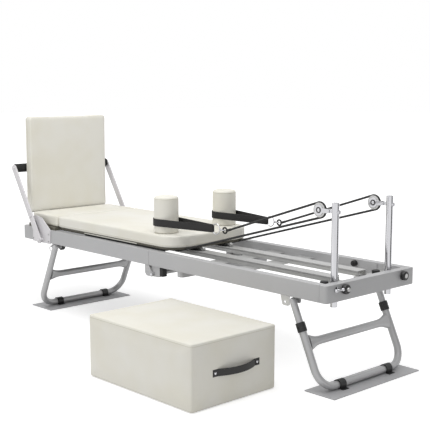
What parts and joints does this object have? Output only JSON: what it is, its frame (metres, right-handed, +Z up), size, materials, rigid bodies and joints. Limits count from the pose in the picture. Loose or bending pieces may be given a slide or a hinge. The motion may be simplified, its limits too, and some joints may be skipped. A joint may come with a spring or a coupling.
{
  "type": "folding pilates reformer",
  "caption": "Folding pilates reformer with a rolling padded carriage, rope pulleys on posts, footbar, jump board, shoulder rests and a separate sitting box.",
  "frame": {"origin": "bottom centre of the bounding box of the whole set, on the floor", "axes": "+X along the frame from the foot end to the head end, -Y the side the sitting box stands on, +Z up"},
  "size_m": [2.45, 1.2022, 1.1076],
  "materials": {
    "satin_silver": "satin anodised",
    "bright_steel": "polished",
    "light_silver": "satin light silver",
    "leg_silver": "satin silver",
    "plate_grey": "matt grey",
    "black_plastic": "satin moulded",
    "black_foam": "matt foam",
    "cream_leather": "soft matt",
    "black_leather": "soft matt",
    "black_webbing": "woven webbing",
    "rope_black": "woven cord",
    "board_grey": "painted board"
  },
  "bodies": {
    "head_frame": {"head_rail_near": "satin_silver", "head_rail_far": "satin_silver", "head_end_rail": "satin_silver", "head_track_near": "satin_silver", "head_track_far": "satin_silver", "head_cross_beam": "satin_silver", "head_tie_plate_inner": "plate_grey", "head_tie_plate_middle": "plate_grey", "head_tie_plate_outer": "plate_grey", "head_hinge": "satin_silver"},
    "foot_frame": {"foot_rail_near": "satin_silver", "foot_rail_far": "satin_silver", "foot_end_rail": "satin_silver", "foot_track_near": "satin_silver", "foot_track_far": "satin_silver", "foot_tie_plate": "plate_grey", "foot_hinge": "satin_silver", "platform_board": "board_grey", "platform_pad": "cream_leather", "footbar_bracket_near": "light_silver", "footbar_bracket_far": "light_silver"},
    "head_leg": {"head_leg_tube_near": "leg_silver", "head_leg_tube_far": "leg_silver"},
    "head_leg_frame": {"head_leg_frame": "leg_silver", "leg_collar_near": "black_plastic", "leg_collar_far": "black_plastic"},
    "head_plate": {"head_floor_plate": "plate_grey"},
    "foot_leg": {"foot_leg_frame": "leg_silver"},
    "foot_plate": {"foot_floor_plate": "plate_grey"},
    "foot_leg_lock": {"foot_leg_lock_pin": "bright_steel"},
    "foot_leg_knob": {"foot_leg_knob": "black_plastic"},
    "post_lock": {"post_lock_pin": "bright_steel"},
    "footbar": {"footbar_frame": "light_silver", "footbar_grip": "black_foam"},
    "jump_board": {"jump_board": "black_plastic", "jump_board_pad": "cream_leather"},
    "carriage": {"carriage_base": "board_grey", "carriage_pad": "cream_leather", "strap_near": "black_webbing", "strap_far": "black_webbing", "strap_ring_near": "bright_steel", "strap_ring_far": "bright_steel", "rope_near": "rope_black", "rope_far": "rope_black", "spring_near": "bright_steel", "spring_far": "bright_steel"},
    "head_rollers": {"head_rollers": "black_plastic"},
    "foot_rollers": {"foot_rollers": "black_plastic"},
    "sitting_box": {"sitting_box": "cream_leather", "box_handle": "black_leather"},
    "post_near": {"post_near": "bright_steel"},
    "pulley_block_near": {"pulley_block_near": "bright_steel"},
    "pulley_wheel_near": {"pulley_wheel_near": "light_silver"},
    "post_knob_near": {"post_knob_near": "black_plastic"},
    "shoulder_rest_near": {"shoulder_rest_near": "cream_leather"},
    "post_far": {"post_far": "bright_steel"},
    "pulley_block_far": {"pulley_block_far": "bright_steel"},
    "pulley_wheel_far": {"pulley_wheel_far": "light_silver"},
    "post_knob_far": {"post_knob_far": "black_plastic"},
    "shoulder_rest_far": {"shoulder_rest_far": "cream_leather"}
  },
  "joints": [
    {"name": "frame_fold", "type": "hinge", "parent": "head_frame", "child": "foot_frame", "pos_m": [0.032, 0.25645, 0.3605], "axis": [0, -1, 0], "range_deg": [0, 180]},
    {"name": "head_leg_fold", "type": "hinge", "parent": "head_frame", "child": "head_leg", "pos_m": [0.9753, 0.25645, 0.3825], "axis": [0, 1, 0], "range_deg": [0, 114.64]},
    {"name": "head_leg_extend", "type": "slide", "parent": "head_leg", "child": "head_leg_frame", "axis": [0.4161, 0, -0.9093], "range_m": [-0.0401, 0]},
    {"name": "head_plate_tilt", "type": "hinge", "parent": "head_leg_frame", "child": "head_plate", "pos_m": [1.14, 0.25645, 0.0226], "axis": [0, -1, 0], "range_deg": [0, 114.64]},
    {"name": "foot_leg_fold", "type": "hinge", "parent": "foot_frame", "child": "foot_leg", "pos_m": [-0.848, 0.25645, 0.3862], "axis": [0, -1, 0], "range_deg": [0, 114.68]},
    {"name": "foot_plate_tilt", "type": "hinge", "parent": "foot_leg", "child": "foot_plate", "pos_m": [-1.0147, 0.25645, 0.0226], "axis": [0, 1, 0], "range_deg": [0, 114.68]},
    {"name": "foot_leg_lock_pull", "type": "slide", "parent": "foot_frame", "child": "foot_leg_lock", "axis": [0, -1, 0], "range_m": [0, 0.01], "stiffness_N_per_m": 400, "springref_m": -0.005},
    {"name": "foot_leg_knob_turn", "type": "hinge", "parent": "foot_frame", "child": "foot_leg_knob", "pos_m": [-0.848, -0.01355, 0.3862], "axis": [0, 1, 0], "continuous": true},
    {"name": "footbar_fold", "type": "hinge", "parent": "foot_frame", "child": "footbar", "pos_m": [-0.952, 0.25645, 0.417], "axis": [0, -1, 0], "range_deg": [0, 100]},
    {"name": "jump_board_lift", "type": "slide", "parent": "foot_frame", "child": "jump_board", "axis": [0, 0, 1], "range_m": [0, 0.12]},
    {"name": "post_near_lift", "type": "slide", "parent": "head_frame", "child": "post_near", "axis": [0, 0, 1], "range_m": [-0.05, 0.05]},
    {"name": "pulley_near_swivel", "type": "hinge", "parent": "post_near", "child": "pulley_block_near", "pos_m": [1.082, 0.06645, 0.777], "axis": [0, 1, 0], "range_deg": [-15, 15]},
    {"name": "pulley_near_spin", "type": "hinge", "parent": "pulley_block_near", "child": "pulley_wheel_near", "pos_m": [1.03, 0.06645, 0.777], "axis": [0, 1, 0], "continuous": true},
    {"name": "post_knob_near_turn", "type": "hinge", "parent": "head_frame", "child": "post_knob_near", "pos_m": [1.176, 0.06245, 0.454], "axis": [1, 0, 0], "continuous": true},
    {"name": "post_far_lift", "type": "slide", "parent": "head_frame", "child": "post_far", "axis": [0, 0, 1], "range_m": [-0.05, 0.05]},
    {"name": "pulley_far_swivel", "type": "hinge", "parent": "post_far", "child": "pulley_block_far", "pos_m": [1.082, 0.44645, 0.777], "axis": [0, 1, 0], "range_deg": [-15, 15]},
    {"name": "pulley_far_spin", "type": "hinge", "parent": "pulley_block_far", "child": "pulley_wheel_far", "pos_m": [1.03, 0.44645, 0.777], "axis": [0, 1, 0], "continuous": true},
    {"name": "post_knob_far_turn", "type": "hinge", "parent": "head_frame", "child": "post_knob_far", "pos_m": [1.176, 0.47845, 0.454], "axis": [1, 0, 0], "continuous": true},
    {"name": "post_lock_pull", "type": "slide", "parent": "head_frame", "child": "post_lock", "axis": [1, 0, 0], "range_m": [0, 0.01], "stiffness_N_per_m": 400, "springref_m": -0.005},
    {"name": "carriage_slide", "type": "slide", "parent": "head_frame", "child": "carriage", "axis": [-1, 0, 0], "range_m": [-0.86, 0], "deforming": ["strap_near", "strap_far", "strap_ring_near", "strap_ring_far", "rope_near", "rope_far", "spring_near", "spring_far"]},
    {"name": "head_roller_spin", "type": "hinge", "parent": "carriage", "child": "head_rollers", "pos_m": [0.11, 0.25645, 0.4866], "axis": [0, 1, 0], "range_deg": [0, 4400]},
    {"name": "foot_roller_spin", "type": "hinge", "parent": "carriage", "child": "foot_rollers", "pos_m": [-0.765, 0.25645, 0.4866], "axis": [0, 1, 0], "range_deg": [0, 4400]},
    {"name": "shoulder_rest_near_lift", "type": "slide", "parent": "carriage", "child": "shoulder_rest_near", "axis": [0, 0, 1], "range_m": [0, 0.035]},
    {"name": "shoulder_rest_far_lift", "type": "slide", "parent": "carriage", "child": "shoulder_rest_far", "axis": [0, 0, 1], "range_m": [0, 0.035]},
    {"name": "sitting_box_lift", "type": "slide", "parent": "head_frame", "child": "sitting_box", "axis": [0, 0, 1], "range_m": [0, 0.25]}
  ],
  "couplings": [
    {"joint": "head_leg_fold", "follows": "frame_fold", "ratio": 0.63661},
    {"joint": "head_leg_extend", "follows": "frame_fold", "m_per_rad": -0.012732},
    {"joint": "head_plate_tilt", "follows": "frame_fold", "ratio": 0.63661},
    {"joint": "foot_leg_fold", "follows": "frame_fold", "ratio": 0.63683},
    {"joint": "foot_plate_tilt", "follows": "frame_fold", "ratio": 0.63683},
    {"joint": "head_roller_spin", "follows": "carriage_slide", "rad_per_m": -88.496},
    {"joint": "foot_roller_spin", "follows": "carriage_slide", "rad_per_m": -88.496}
  ]
}
